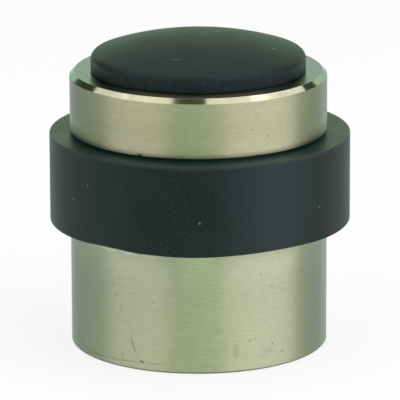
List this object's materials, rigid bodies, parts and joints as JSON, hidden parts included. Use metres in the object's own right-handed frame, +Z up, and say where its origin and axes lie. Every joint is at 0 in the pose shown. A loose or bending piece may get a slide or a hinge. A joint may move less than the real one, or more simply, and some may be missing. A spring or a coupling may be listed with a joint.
{
  "type": "floor door stop",
  "caption": "Round floor-fixed door stop: a hollow satin metal body with a rubber buffer ring in its groove and a domed rubber cap over the screw well.",
  "frame": {"origin": "on the axis, at floor level, at the centre of the base", "axes": "+Z up along the axis of the body; the part is round, so X and Y have no preferred direction, and -Y faces the picture's camera"},
  "size_m": [0.0468, 0.0468, 0.0488],
  "materials": {
    "satin_metal": "fine turned satin",
    "black_rubber": "matte"
  },
  "bodies": {
    "root": {"body": "satin_metal", "buffer_ring": "black_rubber", "top_cap": "black_rubber"}
  },
  "joints": []
}
